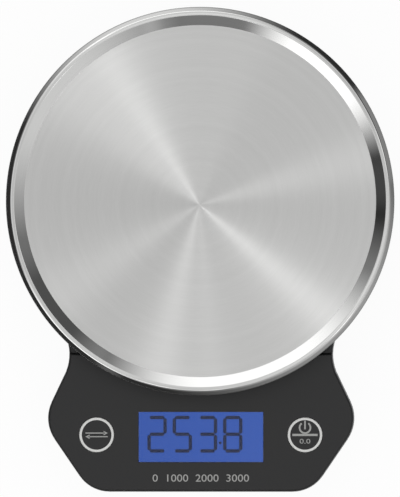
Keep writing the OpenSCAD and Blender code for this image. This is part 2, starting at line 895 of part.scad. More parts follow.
module battery_contacts() {
  end = bay_l / 2;
  half = cell_d / 2 - 1;
  color("#c9c9c6") {
    // Left pair, with tabs out through the bay's wall
    for (y = [bay_y - cell_pitch / 2, bay_y + cell_pitch / 2]) {
      block([-end + 0.05, y - half, cell_z - 4], [-end + 0.05 + contact_t, y + half, cell_z + 4]);
      block([-end - 2.6, y - 1.5, 9.3], [-end + 0.1, y + 1.5, 9.7]);
    }
    block(
      [end - 0.05 - contact_t, bay_y - cell_pitch / 2 - half, cell_z - 4],
      [end - 0.05, bay_y + cell_pitch / 2 + half, cell_z + 4]
    );
    // Domes that press on the batteries' raised contacts
    rod_x([end - 1.55, bay_y - cell_pitch / 2, cell_z], 1.5, 1.1);
    rod_x([-end + 0.45, bay_y + cell_pitch / 2, cell_z], 1.5, 1.1);
  }
}

// One conical spring, from its plate at x = 0 to the battery's flat end at x = length
spring_length = bay_l - cell_l - 1 - 1.6 - contact_t - 0.1;
function spring_points(n) = [
  for (i = [0:8 * n])
    let (f = i / (8 * n), r = 3.6 - 1.4 * f)
    [spring_wire_r + f * (spring_length - 2 * spring_wire_r), r * cos(45 * i), r * sin(45 * i)]
];

// Least gap between the turns, measured on the spring's own points
function spring_gap(p) = min([
  for (i = [0:len(p) - 1], j = [i + 5:1:len(p) - 1]) norm(p[i] - p[j]) - 2 * spring_wire_r
]);
echo(least_gap_between_spring_turns = spring_gap(spring_points(spring_curls)));

module battery_springs() {
  from = bay_l / 2 - 0.05 - contact_t;
  color("#d2d2cf") {
    translate([-from, bay_y - cell_pitch / 2, cell_z])
      tube(spring_points(spring_curls), spring_wire_r, 6, [1, 0, 0]);
    translate([from, bay_y + cell_pitch / 2, cell_z])
      mirror([1, 0, 0]) tube(spring_points(spring_curls), spring_wire_r, 6, [1, 0, 0]);
  }
}

// Leads from the batteries' tabs to the board
lead_routes = [
  [
    [-28.65, 46, 9.5], [-31.5, 46, 9.3], [-37, 42, 6.5], [-39, 30, 5.2], [-39, 8, 5],
    [-36, -20, 5], [-31, -44, 6], [-30, -56, 8], [-30, -59, 10.4], [-30, -59, 12]
  ],
  [
    [-28.65, 57, 9.5], [-31.5, 57, 9.3], [-39, 52, 6.5], [-41, 34, 5.2], [-41, 8, 5],
    [-38, -20, 5], [-34, -44, 6], [-33.2, -56, 8], [-33.2, -59, 10.4], [-33.2, -59, 12]
  ]
];

module battery_leads() {
  colors = ["#b3262a", "#1c1c1c"];
  for (i = [0, 1])
    color(colors[i]) tube(smoothed(lead_routes[i], 1), 0.6, 6);
}

// Door: a plate with a round front edge that carries its hinge pins, stiffening ribs,
// and a latch tongue cut free on three sides, drawn back from its catch
module battery_door() {
  y0 = hinge_y;
  y1 = bay_y + door_w / 2;
  x1 = door_l / 2;
  rib_top = foot_h + 2 * door_edge_r;
  latch_x = 7;
  color(black_plastic) {
    difference() {
      union() {
        block([-x1, y0, foot_h], [x1, y1, foot_h + door_t]);
        rod_x([-x1, y0, hinge_z], door_edge_r, 2 * x1);
        rod_x([-x1 - door_pin_l, y0, hinge_z], door_pin_r, 2 * (x1 + door_pin_l));
        for (x = [-x1 + 2, -9.4, 8, x1 - 3.4])
          block([x, y0, foot_h + 1], [x + 1.4, y1 - 3.4, rib_top]);
      }
      // Slots beside the latch, and finger grooves in it
      for (s = [-1, 1])
        block([s * latch_x - 0.5, y1 - 9, foot_h - 1], [s * latch_x + 0.5, y1 + 1, foot_h + 5]);
      for (y = [y1 - 6:1.6:y1 - 1])
        block([-5, y, foot_h - 1], [5, y + 0.7, foot_h + 0.4]);
    }
  }
}

// Rubber foot with a rounded edge and a hollow middle
module foot(pos) {
  color("#1d1d1d")
    translate([pos.x, pos.y, 0])
      rotate_extrude()
        polygon([
          [0, 0.6], [2.4, 0.6], [3, 0], [foot_r - 0.9, 0], [foot_r - 0.25, 0.3], [foot_r, 0.9],
          [foot_r, foot_h + foot_sunk], [0, foot_h + foot_sunk]
        ]);
}

module foot_front_left() {
  foot([-front_foot.x, front_foot.y]);
}

module foot_front_right() {
  foot(front_foot);
}

module foot_rear_left() {
  foot([-rear_foot.x, rear_foot.y]);
}

module foot_rear_right() {
  foot(rear_foot);
}

module housing_screws() {
  color(bare_steel)
    for (p = housing_screw_at) screw_up([p.x, p.y, housing_seat_z], 1.2, 9, 2.6, 1.8);
}

module board_screws() {
  color(bare_steel)
    for (p = board_screw_at) screw_up([p.x, p.y, board_top - board_t], 0.8, 6, 1.9, 1.3);
}

base_shell();
top_shell();
weighing_tray();
tray_tape_pads();
tray_carrier();
load_cell();
strain_gauges();
gauge_coating();
load_cell_base_screws();
load_cell_tray_screws();
load_cell_wires();
main_board();
controller_blob();
board_components();
unit_switch();
unit_switch_plunger();
tare_switch();
tare_switch_plunger();
unit_button();
tare_button();
display_window();
display_glass();
display_light_guide();
display_leds();
display_frame();
display_contact_strip();
battery_front();
battery_rear();
battery_springs();
battery_contacts();
battery_leads();
battery_door();
foot_front_left();
foot_front_right();
foot_rear_left();
foot_rear_right();
housing_screws();
board_screws();
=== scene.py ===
"""Digital kitchen scale: a spun-brushed steel tray on a black housing with a lit display."""

import json
import math

import bmesh
import bpy
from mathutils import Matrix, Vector


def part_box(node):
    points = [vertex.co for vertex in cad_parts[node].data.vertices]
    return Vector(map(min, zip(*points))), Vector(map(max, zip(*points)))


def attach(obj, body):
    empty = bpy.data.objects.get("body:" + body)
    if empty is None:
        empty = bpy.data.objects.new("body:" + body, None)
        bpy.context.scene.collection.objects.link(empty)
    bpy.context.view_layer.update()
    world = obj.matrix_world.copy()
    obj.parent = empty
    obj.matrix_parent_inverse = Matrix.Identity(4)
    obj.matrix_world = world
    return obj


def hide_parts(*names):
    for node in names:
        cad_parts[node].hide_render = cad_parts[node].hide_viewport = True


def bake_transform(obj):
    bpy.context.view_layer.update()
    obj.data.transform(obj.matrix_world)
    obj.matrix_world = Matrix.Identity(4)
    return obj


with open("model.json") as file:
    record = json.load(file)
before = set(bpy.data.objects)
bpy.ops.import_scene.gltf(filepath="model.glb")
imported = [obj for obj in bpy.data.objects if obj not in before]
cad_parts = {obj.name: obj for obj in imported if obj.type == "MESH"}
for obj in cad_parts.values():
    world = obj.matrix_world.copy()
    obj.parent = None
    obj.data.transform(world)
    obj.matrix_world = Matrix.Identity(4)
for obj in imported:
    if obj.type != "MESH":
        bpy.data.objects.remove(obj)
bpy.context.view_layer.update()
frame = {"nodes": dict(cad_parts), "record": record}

MM = 0.001


def box_mm(node):
    """A CAD node's lowest and highest corners, in millimetres."""
    return [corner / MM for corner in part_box(node)]


# Heights and places that the CAD nodes give, in millimetres
tray_low, tray_high = box_mm("weighing_tray")
TRAY_X = (tray_low.x + tray_high.x) / 2
TRAY_Y = (tray_low.y + tray_high.y) / 2
TRAY_R = (tray_high.x - tray_low.x) / 2
CREST_Z = tray_high.z
SKIRT_Z = tray_low.z
window_low, window_high = box_mm("display_window")
WINDOW_Y = (window_low.y + window_high.y) / 2
DECK_Z = window_high.z
GLASS_Z = box_mm("display_glass")[1].z
BUTTON_TOP_Z = box_mm("unit_button")[1].z


# ---------------------------------------------------------------- camera

# Straight down on the middle of the picture, leaning a degree to the right as the photo does
MM_PER_PIXEL = 0.4118
PICTURE_MM = Vector((400, 497)) * MM_PER_PIXEL
AIM = Vector((-0.03, 0.5, 34.0)) * MM
LEAN = math.radians(1.4)
CAMERA_AWAY = 6.5

camera = bpy.data.objects.new("camera", bpy.data.cameras.new("camera"))
bpy.context.scene.collection.objects.link(camera)
camera.data.sensor_width = 36
camera.data.lens = camera.data.sensor_width * CAMERA_AWAY / (PICTURE_MM.y * MM)
camera.data.clip_start, camera.data.clip_end = 0.5, 50
toward_camera = Vector((math.sin(LEAN), 0, math.cos(LEAN)))
camera.location = AIM + toward_camera * CAMERA_AWAY
camera.rotation_euler = (0, LEAN, 0)
bpy.context.scene.camera = camera


# ---------------------------------------------------------------- node helpers


def linear(code):
    """An sRGB hex colour as linear RGBA."""
    values = [int(code[i : i + 2], 16) / 255 for i in (1, 3, 5)]
    return [*(v / 12.92 if v <= 0.04045 else ((v + 0.055) / 1.055) ** 2.4 for v in values), 1]


def feed(tree, node, **inputs):
    """Sets or links inputs. A name has _ for a space, or is in0, in1 by the input's place."""
    for name, value in inputs.items():
        place = name[2:]
        by_place = name[:2] == "in" and place.isdigit()
        socket = node.inputs[int(place) if by_place else name.replace("_", " ")]
        if isinstance(value, bpy.types.NodeSocket):
            tree.links.new(value, socket)
        else:
            socket.default_value = value


def add(tree, kind, settings=(), **inputs):
    """Adds a node with its settings and its inputs."""
    node = tree.nodes.new(kind)
    for name, value in dict(settings).items():
        setattr(node, name, value)
    feed(tree, node, **inputs)
    return node


def new_material(name, **shader):
    """A material whose shader has the given constants. Gives it, its tree and its shader."""
    material = bpy.data.materials.new(name)
    material.use_nodes = True
    surface = material.node_tree.nodes["Principled BSDF"]
    feed(material.node_tree, surface, **shader)
    return material, material.node_tree, surface


def place_in_mm(tree):
    """Where a point of the surface is, in millimetres, in the object's own frame."""
    where = add(tree, "ShaderNodeTexCoord").outputs["Object"]
    return add(tree, "ShaderNodeVectorMath", {"operation": "SCALE"}, in0=where, Scale=1 / MM).outputs[0]


def dress(tree, surface, shade=None, gloss=None, relief=None):
    """Lets patterns steer the surface: shade is a pattern and two hex colours, gloss a pattern
    and two roughnesses, relief a pattern and its depth in millimetres."""
    if shade:
        pattern, colour, paler = shade
        mix = add(
            tree, "ShaderNodeMix", {"data_type": "RGBA"}, in0=pattern, in6=linear(colour), in7=linear(paler)
        )
        feed(tree, surface, Base_Color=mix.outputs[2])
    if gloss:
        pattern, low, high = gloss
        rough = add(tree, "ShaderNodeMapRange", Value=pattern, To_Min=low, To_Max=high)
        feed(tree, surface, Roughness=rough.outputs[0])
    if relief:
        pattern, depth_mm = relief
        bumps = add(tree, "ShaderNodeBump", Strength=1.0, Distance=depth_mm * MM, Height=pattern)
        feed(tree, surface, Normal=bumps.outputs[0])


# ---------------------------------------------------------------- materials

MATERIALS = {}
# Melt flows in patches about 14 mm across, and handling dulls metal in patches of about 6 mm
FLOW_MM, CLOUD_MM = 14, 6


def moulded(slot, name, colour, paler, roughness, grain_mm, depth_mm, **shader):
    """Moulded plastic or rubber: the tool's fine texture as bumps, slightly uneven gloss and shade."""
    material, tree, surface = new_material(name, **shader)
    where = place_in_mm(tree)
    grain = add(tree, "ShaderNodeTexNoise", Vector=where, Scale=1 / grain_mm, Detail=3.0).outputs["Fac"]
    flow = add(tree, "ShaderNodeTexNoise", Vector=where, Scale=1 / FLOW_MM, Detail=2.0).outputs["Fac"]
    gloss = (flow, roughness * 0.92, roughness * 1.08)
    dress(tree, surface, shade=(flow, colour, paler), gloss=gloss, relief=(grain, depth_mm))
    MATERIALS[slot] = material


# Black ABS from a spark-eroded tool: an even satin with a grain a quarter of a millimetre wide
moulded("black_abs", "spark_textured_black_abs", "#1c1c1d", "#202021", 0.5, 0.25, 0.004, IOR=1.5)
# The panel's ABS comes from a finer tool, so it is smoother and reads as one flat charcoal
moulded("panel_abs", "fine_satin_charcoal_abs", "#131314", "#171718", 0.42, 0.2, 0.002, IOR=1.45)
# White ABS behind the display: plain gloss from a polished tool
moulded("frame_white", "polished_white_abs", "#e6e6e1", "#efefeb", 0.3, 0.6, 0.002, IOR=1.5)
# Glass-filled black nylon of the switch bodies: dull, with fibres near the surface
moulded("switch_black", "glass_filled_black_nylon", "#1b1b1c", "#2a2a2c", 0.55, 0.12, 0.006, IOR=1.53)
# Acetal of the plungers: waxy grey
moulded("plunger_grey", "waxy_grey_acetal", "#8e9092", "#9b9da0", 0.35, 0.5, 0.001, IOR=1.48)
# Polyethylene foam tape: matt and open-celled at its edges, cells a third of a millimetre
moulded("foam_tape", "grey_foam_tape", "#5f6163", "#74767a", 0.85, 0.35, 0.05, IOR=1.4)
# Silicone dab over the gauges: soft white with a wet look
moulded("silicone", "white_silicone", "#dcdcd6", "#e9e9e4", 0.25, 1.6, 0.02, IOR=1.41, Subsurface_Weight=0.2)
# PVC sleeves of the wires: smooth, slightly marked by handling
moulded("wire_sleeve", "soft_pvc_sleeve", "#a32226", "#b52a2e", 0.38, 1.1, 0.003, IOR=1.53)
# Epoxy dropped on the controller: black and shiny with a slow ripple
moulded("epoxy_black", "black_epoxy_drop", "#0d0d0e", "#141415", 0.12, 2.2, 0.02, IOR=1.55)
# Ceramic and epoxy bodies of the small parts
moulded("component_body", "fired_ceramic_bodies", "#4a3d31", "#6b5a48", 0.5, 0.5, 0.004, IOR=1.6)
# Zebra rubber strip: fine carbon layers 0.1 mm apart, drawn at 0.3 so that they show
moulded("strip_rubber", "layered_contact_rubber", "#1f1f21", "#7b7b80", 0.6, 0.3, 0.004, IOR=1.43)
# Thermoplastic rubber of the feet: dull black that grips, with a bloom in patches
moulded("foot_rubber", "matt_black_rubber", "#141414", "#232323", 0.75, 0.4, 0.012, IOR=1.52)
# Light diffusing acrylic of the guide: clear body with a milky bloom
moulded("guide_acrylic", "frosted_guide_acrylic", "#c7d3ea", "#dde5f4", 0.4, 0.3, 0.006, IOR=1.49)
# Printed shrink sleeve of the batteries: plain colour, glossy, a little orange-peel
moulded("battery_sleeve", "battery_shrink_sleeve", "#2b5f8c", "#34699a", 0.22, 1.4, 0.008, IOR=1.54)


def metal(slot, name, colour, paler, roughness, grain_mm, depth_mm, stretch=(1, 1, 1)):
    """Bare or plated metal with the marks of how it was made, drawn out along one direction."""
    material, tree, surface = new_material(name, Metallic=1.0)
    where = place_in_mm(tree)
    drawn = add(tree, "ShaderNodeVectorMath", {"operation": "MULTIPLY"}, in0=where, in1=stretch).outputs[0]
    marks = add(tree, "ShaderNodeTexNoise", Vector=drawn, Scale=1 / grain_mm, Detail=4.0).outputs["Fac"]
    cloud = add(tree, "ShaderNodeTexNoise", Vector=where, Scale=1 / CLOUD_MM, Detail=2.0).outputs["Fac"]
    gloss = (marks, roughness * 0.75, roughness * 1.3)
    dress(tree, surface, shade=(cloud, colour, paler), gloss=gloss, relief=(marks, depth_mm))
    MATERIALS[slot] = material


# Milled aluminium bar: bright cutter lines 0.2 mm apart that run across it
metal("beam_aluminium", "milled_aluminium", "#c9cacb", "#d6d7d8", 0.32, 0.2, 0.004, (1, 0.03, 0.03))
# Zinc-plated screws: pale and slightly cloudy
metal("screw_steel", "zinc_plated_steel", "#b9bcbf", "#cdd0d2", 0.34, 0.3, 0.003)
# Nickel-plated spring steel of the contacts: warm and bright
metal("contact_nickel", "nickel_plated_spring_steel", "#c4c0b6", "#d4d0c7", 0.22, 0.25, 0.002)
# Foil grid of the strain gauges under a yellow film
metal("gauge_film", "constantan_foil_on_film", "#b98a4a", "#cfa15c", 0.35, 0.15, 0.002, (0.1, 1, 1))
# The tray's hidden side keeps the mill's dull 2B finish, with faint rolling marks
metal("tray_steel", "mill_finish_stainless", "#a9a9a8", "#b4b4b3", 0.4, 0.4, 0.002, (0.15, 1, 1))

# FR4 board: green solder mask over woven glass, whose 0.5 mm weave shows as a faint check
material, tree, surface = new_material("green_solder_mask_board", Roughness=0.32, IOR=1.55)
where = place_in_mm(tree)
weave = [
    add(
        tree, "ShaderNodeTexWave", {"bands_direction": across}, Vector=where, Scale=2.0, Distortion=0.3
    ).outputs["Fac"]
    for across in ("X", "Y")
]
check = add(tree, "ShaderNodeMath", {"operation": "MULTIPLY"}, in0=weave[0], in1=weave[1]).outputs[0]
dress(tree, surface, shade=(check, "#1a4f2d", "#245f38"), relief=(check, 0.01))
MATERIALS["board_green"] = material

# LED packages: white ceramic that glows behind its blue drive, with a 0.6 mm mottle
material, tree, surface = new_material("lit_led_package", Roughness=0.4, IOR=1.5, Emission_Strength=1.0)
mottle = add(tree, "ShaderNodeTexNoise", Vector=place_in_mm(tree), Scale=1 / 0.6).outputs["Fac"]
glow = add(
    tree, "ShaderNodeMix", {"data_type": "RGBA"}, in0=mottle, in6=linear("#7f9bea"), in7=linear("#a9bdf4")
).outputs[2]
feed(tree, surface, Base_Color=glow, Emission_Color=glow)
MATERIALS["led_white"] = material

# Cast acrylic window with an anti-reflection coat: clear, its gloss about half of bare
# acrylic's, which the lower IOR stands for, and a fine handling haze
material, tree, surface = new_material(
    "coated_cast_acrylic", Base_Color=linear("#fbfcff"), IOR=1.35, Transmission_Weight=1.0
)
haze = add(tree, "ShaderNodeTexNoise", Vector=place_in_mm(tree), Scale=1 / 3, Detail=6.0).outputs["Fac"]
dress(tree, surface, gloss=(haze, 0.01, 0.05))
MATERIALS["window_acrylic"] = material

# What shows its own light under the window is dark where it is unlit, and has no gloss there
UNDER_WINDOW = {
    "Base_Color": linear("#05070c"), "Roughness": 0.3, "IOR": 1.5, "Specular_IOR_Level": 0.0,
    "Emission_Strength": 1.0,
}

# Display glass lit from behind: an even blue, a little deeper away from the lamps on the right,
# with the fine mottle of the diffuser film
material, tree, surface = new_material("backlit_blue_display", **UNDER_WINDOW)
DISPLAY_HALF_MM = 26
where = place_in_mm(tree)
along = add(tree, "ShaderNodeSeparateXYZ", Vector=where).outputs["X"]
depth = add(
    tree, "ShaderNodeMapRange", Value=along, From_Min=-DISPLAY_HALF_MM, From_Max=DISPLAY_HALF_MM
).outputs[0]
glow = add(
    tree, "ShaderNodeMix", {"data_type": "RGBA"}, in0=depth, in6=linear("#274fa4"), in7=linear("#2b53a9")
).outputs[2]
mottle = add(tree, "ShaderNodeTexNoise", Vector=where, Scale=1 / 0.8, Detail=2.0).outputs["Fac"]
film = add(tree, "ShaderNodeMapRange", Value=mottle, To_Min=0.97, To_Max=1.03).outputs[0]
lit = add(tree, "ShaderNodeVectorMath", {"operation": "SCALE"}, in0=glow, Scale=film).outputs[0]
feed(tree, surface, Emission_Color=lit)
MATERIALS["display_blue"] = material

# Ink of the display's digits: nearly black liquid crystal with the blue shining through
SEGMENT_INK, tree, surface = new_material("dark_crystal_segments", **UNDER_WINDOW)
seep = add(tree, "ShaderNodeTexNoise", Vector=place_in_mm(tree), Scale=1 / 1.2).outputs["Fac"]
ink = add(
    tree, "ShaderNodeMix", {"data_type": "RGBA"}, in0=seep, in6=linear("#0d1a3c"), in7=linear("#101d40")
).outputs[2]
feed(tree, surface, Emission_Color=ink)


def print_ink(name, colour, paler):
    """Screen-printed ink: matt, with the speckle of the 0.35 mm mesh it was pressed through."""
    material, tree, surface = new_material(name, IOR=1.5, Roughness=0.55)
    speckle = add(
        tree, "ShaderNodeTexNoise", Vector=place_in_mm(tree), Scale=1 / 0.35, Detail=2.0
    ).outputs["Fac"]
    dress(tree, surface, shade=(speckle, colour, paler), relief=(speckle, 0.004))
    return material


WHITE_INK = print_ink("white_screen_print", "#dededc", "#e9e9e7")
GREY_INK = print_ink("grey_screen_print", "#a2a2a0", "#aeaeac")
BLACK_INK = print_ink("black_screen_print", "#101012", "#161619")


def from_middle(tree, middle=(0, 0)):
    """How far a point is from an upright axis of the tray, as a level vector in millimetres."""
    place = add(
        tree, "ShaderNodeVectorMath", {"operation": "SUBTRACT"}, in0=place_in_mm(tree), in1=(*middle, 0)
    ).outputs[0]
    return add(tree, "ShaderNodeVectorMath", {"operation": "MULTIPLY"}, in0=place, in1=(1, 1, 0)).outputs[0]


# Stainless tray, brushed as it spun. The real lines are finer than 0.1 mm; these are 0.35 mm
# wide so that a few show, broken into arcs, with paler and duller rings every few millimetres.
# They spread each light into a radial fan. The fans meet a little in front of the middle.
LINE_MM, RING_MM, RING_SHARE = 0.35, 3, 1.3
ARC_STRETCH = 2.5
BRUSH_MIDDLE = (-0.3, -1.5)
BRUSHED_STEEL, tree, surface = new_material(
    "spun_brushed_stainless", Metallic=1.0, Anisotropic=0.95, Anisotropic_Rotation=0.25
)
level = from_middle(tree, BRUSH_MIDDLE)
radius = add(tree, "ShaderNodeVectorMath", {"operation": "LENGTH"}, in0=level).outputs["Value"]
parts = add(tree, "ShaderNodeSeparateXYZ", Vector=level).outputs
angle = add(tree, "ShaderNodeMath", {"operation": "ARCTAN2"}, in0=parts["Y"], in1=parts["X"]).outputs[0]
turned = add(tree, "ShaderNodeMath", {"operation": "MULTIPLY"}, in0=angle, in1=ARC_STRETCH).outputs[0]
arcs = add(tree, "ShaderNodeCombineXYZ", X=radius, Y=turned).outputs[0]
lines = add(tree, "ShaderNodeTexNoise", Vector=arcs, Scale=1 / LINE_MM, Detail=2.0).outputs["Fac"]
hoops = add(tree, "ShaderNodeCombineXYZ", X=radius).outputs[0]
rings = add(tree, "ShaderNodeTexNoise", Vector=hoops, Scale=1 / RING_MM, Detail=2.0).outputs["Fac"]
tone = add(
    tree, "ShaderNodeMath", {"operation": "MULTIPLY_ADD"}, in0=rings, in1=RING_SHARE, in2=lines
).outputs[0]
tone = add(tree, "ShaderNodeMapRange", Value=tone, From_Min=0.5, From_Max=1.8).outputs[0]
dress(tree, surface, shade=(tone, "#c0c0bf", "#cacac9"), gloss=(lines, 0.27, 0.3))

# The brush leaves each line higher on its inner side, so the facets lean outward a few
# degrees and a light shows as a fan on its own side of the tray only
FACET_LEAN = math.tan(math.radians(6))
scratches = add(tree, "ShaderNodeBump", Strength=1.0, Distance=0.0004 * MM, Height=lines).outputs[0]
outward = add(tree, "ShaderNodeVectorMath", {"operation": "NORMALIZE"}, in0=level).outputs[0]
spin = add(
    tree, "ShaderNodeVectorMath", {"operation": "CROSS_PRODUCT"}, in0=(0, 0, 1), in1=outward
).outputs[0]
to_world = {"vector_type": "VECTOR", "convert_from": "OBJECT", "convert_to": "WORLD"}
outward, spin = (
    add(tree, "ShaderNodeVectorTransform", to_world, Vector=vector).outputs[0] for vector in (outward, spin)
)
leaning = add(
    tree, "ShaderNodeVectorMath", {"operation": "MULTIPLY_ADD"}, in0=outward, in1=(FACET_LEAN,) * 3,
    in2=scratches,
).outputs[0]
facets = add(tree, "ShaderNodeVectorMath", {"operation": "NORMALIZE"}, in0=leaning).outputs[0]
feed(tree, surface, Normal=facets, Tangent=spin)

# The rim is rolled and buffed on the lathe: nearly a mirror, with faint turning lines, which
# are drawn 0.6 mm apart
BUFFED_STEEL, tree, surface = new_material("buffed_stainless_rim", Metallic=1.0)
radius = add(
    tree, "ShaderNodeVectorMath", {"operation": "LENGTH"}, in0=from_middle(tree)
).outputs["Value"]
hoops = add(tree, "ShaderNodeCombineXYZ", X=radius).outputs[0]
turning = add(tree, "ShaderNodeTexNoise", Vector=hoops, Scale=1 / 0.6, Detail=2.0).outputs["Fac"]
dress(tree, surface, shade=(turning, "#c8c8c7", "#d2d2d1"), gloss=(turning, 0.07, 0.12))


# ---------------------------------------------------------------- finishes on the CAD nodes

SLOT_OF = {part["node"]: part["material_slot"] for part in frame["record"]["subparts"]}
for node, slot_name in SLOT_OF.items():
    for slot in frame["nodes"][node].material_slots:
        slot.material = MATERIALS[slot_name]


# ---------------------------------------------------------------- making pieces


def new_piece(name, mesh, body, materials, origin=(0, 0, 0)):
    """Puts a mesh into the scene as a piece that rides on a body. The origin is in mm."""
    piece = bpy.data.objects.new(name, mesh)
    bpy.context.scene.collection.objects.link(piece)
    piece.location = Vector(origin) * MM
    for material in materials:
        mesh.materials.append(material)
    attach(piece, body)
    return piece


def finished_mesh(name, shape):
    """The mesh of a shape, its faces turned outward."""
    bmesh.ops.recalc_face_normals(shape, faces=shape.faces)
    mesh = bpy.data.meshes.new(name)
    shape.to_mesh(mesh)
    shape.free()
    return mesh


def lathe(name, section, turns, finish_of=None):
    """Turns a closed section, a list of (radius, height) in mm, round the upright axis."""
    shape = bmesh.new()
    angles = [2 * math.pi * k / turns for k in range(turns)]
    rings = []
    for r, z in section:
        if r == 0:
            rings.append([shape.verts.new((0, 0, z * MM))])
        else:
            rings.append(
                [shape.verts.new((r * MM * math.cos(a), r * MM * math.sin(a), z * MM)) for a in angles]
            )
    for i, ring in enumerate(rings):
        after = rings[(i + 1) % len(rings)]
        if len(ring) == len(after) == 1:
            continue
        for k in range(turns):
            n = (k + 1) % turns
            corners = [ring[k % len(ring)], after[k % len(after)], after[n % len(after)], ring[n % len(ring)]]
            face = shape.faces.new(list(dict.fromkeys(corners)))
            face.smooth = True
            if finish_of:
                face.material_index = finish_of(i)
    mesh = finished_mesh(name, shape)
    mesh.set_sharp_from_angle(angle=math.radians(40))
    return mesh


def arc(centre, r, start, end, steps):
    """Points on an arc, in degrees."""
    turns = [math.radians(start + (end - start) * i / steps) for i in range(steps + 1)]
    return [(centre[0] + r * math.cos(t), centre[1] + r * math.sin(t)) for t in turns]


def slab(name, outlines, low, high):
    """A thin printed or cut shape: each outline is a closed loop of (x, y) in mm."""
    shape = bmesh.new()
    for outline in outlines:
        under = [shape.verts.new((x * MM, y * MM, low * MM)) for x, y in outline]
        over = [shape.verts.new((x * MM, y * MM, high * MM)) for x, y in outline]
        shape.faces.new(under[::-1])
        shape.faces.new(over)
        for i in range(len(outline)):
            n = (i + 1) % len(outline)
            shape.faces.new((under[i], under[n], over[n], over[i]))
    return finished_mesh(name, shape)


def stroke(points, width):
    """The outline of a line with square ends drawn through points."""
    left, right = [], []
    for i, (x, y) in enumerate(points):
        before = Vector(points[max(i - 1, 0)])
        after = Vector(points[min(i + 1, len(points) - 1)])
        along = (after - before).normalized()
        side = Vector((-along.y, along.x)) * width / 2
        left.append((x + side.x, y + side.y))
        right.append((x - side.x, y - side.y))
    return left + right[::-1]


def numbers(name, text, height, width, place, body):
    """Plain printed numbers, centred on a place in mm, as a flat mesh of a set size."""
    curve = bpy.data.curves.new(name, "FONT")
    curve.body = text
    curve.align_x, curve.align_y = "CENTER", "CENTER"
    curve.extrude = 0.02 * MM
    curve.resolution_u = 4
    maker = bpy.data.objects.new(name + "_maker", curve)
    bpy.context.scene.collection.objects.link(maker)
    bpy.context.view_layer.update()
    ready = maker.evaluated_get(bpy.context.evaluated_depsgraph_get())
    mesh = bpy.data.meshes.new_from_object(ready)
    bpy.data.objects.remove(maker)
    for i, size in ((0, width), (1, height)):
        low = min(v.co[i] for v in mesh.vertices)
        high = max(v.co[i] for v in mesh.vertices)
        for v in mesh.vertices:
            v.co[i] = ((v.co[i] - low) / (high - low) - 0.5) * size * MM
    mesh.name = name
    return new_piece(name, mesh, body, [GREY_INK], place)


# ---------------------------------------------------------------- tray

# Top skin from the axis outward: flat disc, fillet, bevel, crest, rolled shoulder, crisp edge
# and wall. The crest is crowned by a few degrees.
SHEET, RIM_RISE, EDGE_BREAK = 0.8, 2.5, 0.15
DISC_Z = CREST_Z - RIM_RISE
DISC_R = 72.45
CREST_IN, CREST_OUT = 76.61, 77.89
FOOT_ROUND, BROW_ROUND = 0.35, 0.3
BEVEL = math.degrees(math.atan2(RIM_RISE, CREST_IN - DISC_R))
CROWN_TILT, EDGE_TILT = 5, 44
# The rounds of the shoulder: radius, the outward leans it starts and ends with, and steps
SHOULDER = ((0.6, CROWN_TILT, 20, 3), (2.1, 20, 36, 4), (12.8, 36, EDGE_TILT, 8))


def round_over(r, z, radius, tilt_from, tilt_to, steps):
    """A convex arc that starts at (r, z) and leans outward from one tilt to another, in degrees."""
    a = math.radians(90 - tilt_from)
    centre = (r - radius * math.cos(a), z - radius * math.sin(a))
    return arc(centre, radius, 90 - tilt_from, 90 - tilt_to, steps)


half_bevel = math.tan(math.radians(BEVEL / 2))
foot_r = DISC_R - FOOT_ROUND * half_bevel
brow_r = CREST_IN + BROW_ROUND * half_bevel
top_skin = [(r, DISC_Z) for r in (0, 18, 36, 54, 66, foot_r - 0.3)]
top_skin += arc((foot_r, DISC_Z + FOOT_ROUND), FOOT_ROUND, -90, -90 + BEVEL, 4)
# The brush reaches over the fillet, all but its last step
brushed_steps = len(top_skin) - 2
top_skin += arc((brow_r, CREST_Z - BROW_ROUND), BROW_ROUND, 90 + BEVEL, 90, 5)
crown = (CREST_OUT - top_skin[-1][0]) / math.sin(math.radians(CROWN_TILT))
for radius, tilt_from, tilt_to, steps in ((crown, 0, CROWN_TILT, 4), *SHOULDER):
    top_skin += round_over(*top_skin[-1], radius, tilt_from, tilt_to, steps)[1:]
edge_drop = (TRAY_R - top_skin[-1][0]) * math.tan(math.radians(EDGE_TILT))
top_skin.append((TRAY_R, top_skin[-1][1] - edge_drop))
top_skin += [(TRAY_R, CREST_Z - 5), (TRAY_R, CREST_Z - 9), (TRAY_R, SKIRT_Z + EDGE_BREAK)]
inner_r = TRAY_R - SHEET
under_skin = [
    (TRAY_R - EDGE_BREAK, SKIRT_Z), (inner_r + EDGE_BREAK, SKIRT_Z), (inner_r, SKIRT_Z + EDGE_BREAK),
    (inner_r, CREST_Z - 2.4), (77.9, CREST_Z - SHEET), (77.1, CREST_Z - SHEET),
    (DISC_R + 0.3, DISC_Z - SHEET), (40, DISC_Z - SHEET), (0, DISC_Z - SHEET),
]
# The buffing goes round the skirt's lower edge
buffed_steps = len(top_skin) + 2


def tray_finish(step):
    """The material's place in the tray's list: brushed disc, buffed rim or bare underside."""
    return 0 if step < brushed_steps else 1 if step < buffed_steps else 2


tray = new_piece(
    "pressed_tray", lathe("pressed_tray", top_skin + under_skin, 288, tray_finish), "platform",
    [BRUSHED_STEEL, BUFFED_STEEL, MATERIALS["tray_steel"]], (TRAY_X, TRAY_Y, 0),
)
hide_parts("weighing_tray")


# ---------------------------------------------------------------- load cell

